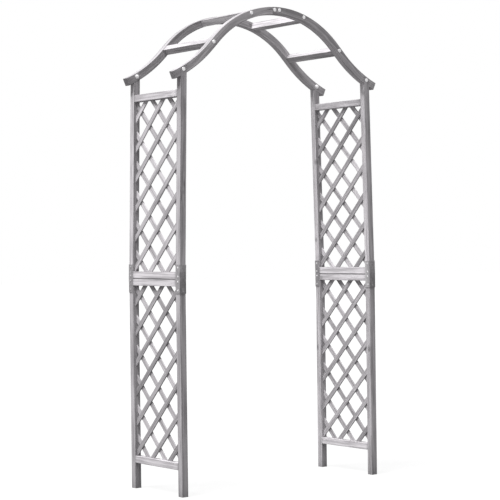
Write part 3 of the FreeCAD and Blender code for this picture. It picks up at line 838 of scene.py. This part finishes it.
def dress_bolts():
    domes, nuts = dome_tree(), nut_tree()
    through = [(side * POST_JOINT[0], POST_JOINT[1]) for side in SIDES.values()]
    into_bars = [(side * x, z) for side in SIDES.values() for x, z in BAR_JOINTS]
    for frame_name, way in FRAMES.items():
        crown = [(-way * x, CROWN_JOINT_Z) for x in CROWN_BOLT_X]
        heads = [((x, way * FACE_Y, z), (0, way, 0)) for x, z in through + into_bars + crown]
        piece = grown(f"{frame_name}_bolt_heads", domes, {
            "Radius": BOLT_RADIUS, "Rise": BOLT_RISE, "Material": BRIGHT_ZINC},
            source=seats("bolt_seats", heads))
        piece.data.shade_smooth()
        fit(piece, "galvanised_steel")
        tails = [((x, way * INSIDE_Y, z), (0, -way, 0)) for x, z in through + crown]
        piece = grown(f"{frame_name}_bolt_nuts", nuts, {
            "Washer Radius": 0.011, "Washer Thickness": 0.0018, "Nut Radius": 0.0075,
            "Nut Height": 0.0065, "Bolt Radius": 0.004, "Bolt Proud": 0.005,
            "Material": BRIGHT_ZINC}, source=seats("nut_seats", tails), easing=NUT_EASING)
        fit(piece, "galvanised_steel")


# Joint brackets: a channel of bent sheet, mitred at the joint, held by screws

# Faces, edges and the flanges' line of screws are measured from the post's middle, and the
# levels of the screws from the joint
BRACKET_FACE = POST_SIDE / 2 + BRACKET_PLAY + BRACKET_SHEET
FLANGE_EDGE = POST_SIDE / 2 - BRACKET_REACH
BEND_RADIUS = 0.003
BEND_STEPS = 6
SHEET_EASING = 0.0003
SCREW_LEVELS = (0.012, 0.055)
SCREW_LINE = 0.004
WEB_SCREW_LEVEL = 0.056
WEB_SCREW_DEPTH = 0.0006
WEB_POCKET_RADIUS = 0.0041
CUT_EDGE = 0.0002

# How far painted light covers a bracket's flanges, lighter where light falls on them: at their free
# edges and at their bends
FLANGE_PAINTED_LIGHT = {"front_left": (0.12, 0.12), "front_right": (0.7, 0.12),
         "rear_left": (0.0, 0.0), "rear_right": (0.0, 0.0)}


def channel_outline():
    """The sheet's section seen from above: outer line out, inner line back, corners bent."""
    def bent_line(inset):
        radius = BEND_RADIUS - inset
        line = [Vector((-BRACKET_FACE + inset, FLANGE_EDGE))]
        for corner, start in ((-1, pi), (1, pi / 2)):
            centre = Vector((corner * (BRACKET_FACE - BEND_RADIUS), BRACKET_FACE - BEND_RADIUS))
            for step in range(BEND_STEPS + 1):
                turn = start - step / BEND_STEPS * pi / 2
                line.append(centre + radius * Vector((cos(turn), sin(turn))))
        return line + [Vector((BRACKET_FACE - inset, FLANGE_EDGE))]

    return bent_line(0.0) + bent_line(BRACKET_SHEET)[::-1]


def bracket_places(side, way):
    """Frames of a bracket's lower and upper half: zero in the post's middle at the joint, Y out."""
    turn = Matrix.Rotation(0 if way == REAR else pi, 4, "Z")
    joint = Matrix.Translation((side * (INNER_X + POST_SIDE / 2), way * POST_Y, LOWER_LENGTH))
    to_edge = Matrix.Translation((-side * POST_SIDE / 2, 0, 0))
    lean = joint @ to_edge @ Matrix.Rotation(-side * LEAN, 4, "Y") @ to_edge.inverted()
    return joint @ turn, lean @ turn


def lofted_channel(name, side, way):
    """The bent channel's mesh, lofted through its foot, its mitre at the joint and its top."""
    straight_place, leaning_place = bracket_places(side, way)
    outline = channel_outline()
    half = BRACKET_LENGTH / 2
    points = []
    for level in (-half, 0.0, half):
        for x, y in outline:
            low = straight_place @ Vector((x, y, level))
            high = leaning_place @ Vector((x, y, level))
            points.append(low if level < 0 else high if level > 0 else (low + high) / 2)
    ring = len(outline)
    faces = [[storey * ring + i, storey * ring + (i + 1) % ring,
              (storey + 1) * ring + (i + 1) % ring, (storey + 1) * ring + i]
             for storey in range(2) for i in range(ring)]
    last = ring - 1
    for base in (0, 2 * ring):
        faces += [[base + i, base + i + 1, base + last - i - 1, base + last - i]
                  for i in range(ring // 2 - 1)]
    mesh = bpy.data.meshes.new(name)
    mesh.from_pydata(points, [], faces)
    shape = bmesh.new()
    shape.from_mesh(mesh)
    bmesh.ops.recalc_face_normals(shape, faces=shape.faces)
    shape.to_mesh(mesh)
    shape.free()
    mesh.materials.append(SHEET_STEEL)
    mesh.shade_smooth()
    return mesh


def channel(name, side, way):
    """The channel with its edges broken and its web sunk where the screws sit."""
    item = new_object(name, lofted_channel(name, side, way))
    round_edges(item, SHEET_EASING, 2, radians(50), clamp=True)
    item.modifiers.new("Facing", "WEIGHTED_NORMAL").keep_sharp = True
    pockets = new_object("pockets", web_pockets(side, way))
    sink = item.modifiers.new("Countersinks", "BOOLEAN")
    sink.object = pockets
    sink.operation = "DIFFERENCE"
    sheet = settle(item)
    bpy.data.objects.remove(pockets)
    return sheet


def paint_flange_light(sheet, way, at_edge, at_bend):
    """Painted light on the flanges alone, lighter where light falls on them, and a painted
    highlight on their cut edges.
    """
    outward = way * points_of(sheet.data)[:, 1] - POST_Y
    bend = BRACKET_FACE - BEND_RADIUS
    write_values(sheet.data, "bloom", "FLOAT", np.interp(
        outward, (FLANGE_EDGE, FLANGE_EDGE + CUT_EDGE, bend, bend + CUT_EDGE),
        (1.0, at_edge, at_bend, 0.0)))


def web_spots(side, way, sunk):
    """Where the web's two screws sit, so far below its face."""
    face = BRACKET_FACE - sunk
    return [(place @ Vector((0, face, up * WEB_SCREW_LEVEL)), Vector((0, way, 0)))
            for place, up in zip(bracket_places(side, way), (-1, 1))]


def web_pockets(side, way):
    """The round sinks that the web's screws sit in, as solids to cut away."""
    shape = bmesh.new()
    for spot, facing in web_spots(side, way, 0):
        bmesh.ops.create_cone(
            shape, cap_ends=True, segments=28, radius1=WEB_POCKET_RADIUS,
            radius2=WEB_POCKET_RADIUS, depth=2 * WEB_SCREW_DEPTH,
            matrix=Matrix.Translation(spot) @ Matrix.Rotation(pi / 2, 4, "X"))
    mesh = bpy.data.meshes.new("pockets")
    shape.to_mesh(mesh)
    shape.free()
    mesh.materials.append(SHEET_STEEL)
    return mesh


def dress_brackets():
    screws = screw_tree()
    for side_name, side in SIDES.items():
        for frame_name, way in FRAMES.items():
            name = f"{frame_name}_{side_name}"
            sheet = channel(f"{name}_bracket_sheet", side, way)
            # Painted light on the flanges and a painted highlight on their cut edges
            paint_flange_light(sheet, way, *FLANGE_PAINTED_LIGHT[name])
            fit(sheet, "galvanised_steel", f"{name}_joint_bracket")
            spots = []
            for place, up in zip(bracket_places(side, way), (-1, 1)):
                turn = place.to_3x3()
                for hand in (-1, 1):
                    for level in SCREW_LEVELS:
                        seat = Vector((hand * BRACKET_FACE, SCREW_LINE, up * level))
                        spots.append((place @ seat, turn @ Vector((hand, 0, 0))))
            piece = grown(f"{name}_bracket_screws", screws, {
                "Radius": 0.005, "Rise": 0.0022, "Slot Length": 0.005, "Slot Width": 0.001,
                "Material": DULL_ZINC if name == "rear_left" else WORN_ZINC},
                source=seats("screw_seats", spots))
            fit(piece, "galvanised_steel")
            piece = grown(f"{name}_web_screws", screws, {
                "Radius": 0.0038, "Rise": WEB_SCREW_DEPTH, "Slot Length": 0.0042,
                "Slot Width": 0.0009, "Material": DULL_ZINC},
                source=seats("web_screw_seats", web_spots(side, way, WEB_SCREW_DEPTH)))
            fit(piece, "galvanised_steel")


dress_timbers()
dress_lattices()
dress_bolts()
dress_brackets()


# Floor, background, light and camera

FLOOR_REACH = 40.0
FLOOR_LEVEL = -0.0005
FLOOR_WHITENESS = 0.90
AMBIENT = 0.36
LAMP_STRENGTH = 6.1
LAMP_SPREAD = radians(32)
TO_THE_LAMP = (-0.45, -0.045, 0.89)
CAMERA_SPOT = (-5.217, -6.990, 1.2215)
CAMERA_YAW, CAMERA_PITCH, CAMERA_ROLL = radians(36.592), radians(-0.243), radians(-0.73)
LENS_MM = 122.47
SENSOR_MM = 36.0
SIGHT_END = 200.0


def lay_floor():
    """Pale floor: white to the eye with the arch's faint shadow, greyer as a source of light."""
    material, board = new_finish("pale_studio_floor")
    matt = board.add("ShaderNodeBsdfDiffuse", {}, {"Color": (0.8, 0.8, 0.8, 1.0)})
    glow = board.add("ShaderNodeEmission", {}, {"Color": (1.0, 1.0, 1.0, 1.0), "Strength": 1.0})
    grey = board.add("ShaderNodeBsdfDiffuse", {}, {"Color": (0.2, 0.2, 0.2, 1.0)})
    to_eye = board.add("ShaderNodeMixShader", {}, {0: FLOOR_WHITENESS, 1: matt, 2: glow})
    mixed = board.add("ShaderNodeMixShader", {}, {0: board.to_the_eye(), 1: grey, 2: to_eye})
    board.add("ShaderNodeOutputMaterial", {}, {"Surface": mixed})
    mesh = bpy.data.meshes.new("studio_floor")
    corners = [(x * FLOOR_REACH, y * FLOOR_REACH, FLOOR_LEVEL)
               for x, y in ((-1, -1), (1, -1), (1, 1), (-1, 1))]
    mesh.from_pydata(corners, [], [(0, 1, 2, 3)])
    mesh.materials.append(material)
    new_object("studio_floor", mesh)


def hang_background():
    """White to the eye, and a weaker even light on the arch."""
    world = bpy.data.worlds.new("studio")
    world.use_nodes = True
    board = Board(world.node_tree)
    sky = board.add("ShaderNodeBackground", {}, {
        "Color": (1.0, 1.0, 1.0, 1.0), "Strength": AMBIENT + board.to_the_eye() * (1.0 - AMBIENT)})
    board.add("ShaderNodeOutputWorld", {}, {"Surface": sky})
    bpy.context.scene.world = world


def set_lamp():
    """One broad soft lamp from the upper left."""
    lamp = bpy.data.lights.new("upper_left", "SUN")
    lamp.energy = LAMP_STRENGTH
    lamp.angle = LAMP_SPREAD
    item = new_object("upper_left", lamp)
    item.rotation_euler = Vector(TO_THE_LAMP).to_track_quat("Z", "Y").to_euler()


def set_camera():
    """The photo's view: yaw from the walkway's way in, pitch from level, roll about the view."""
    yaw, pitch, roll = CAMERA_YAW, CAMERA_PITCH, CAMERA_ROLL
    ahead = Vector((sin(yaw) * cos(pitch), cos(yaw) * cos(pitch), sin(pitch)))
    level_right = Vector((cos(yaw), -sin(yaw), 0))
    level_up = level_right.cross(ahead)
    right = level_right * cos(roll) + level_up * sin(roll)
    up = level_up * cos(roll) - level_right * sin(roll)
    lens = bpy.data.cameras.new("camera")
    lens.lens = LENS_MM
    lens.sensor_width = SENSOR_MM
    lens.sensor_fit = "HORIZONTAL"
    lens.clip_end = SIGHT_END
    camera = new_object("camera", lens)
    turn = Matrix((right, up, -ahead)).transposed().to_4x4()
    camera.matrix_world = Matrix.Translation(CAMERA_SPOT) @ turn
    bpy.context.scene.camera = camera


lay_floor()
hang_background()
set_lamp()
set_camera()
bpy.context.scene.view_settings.view_transform = "Standard"
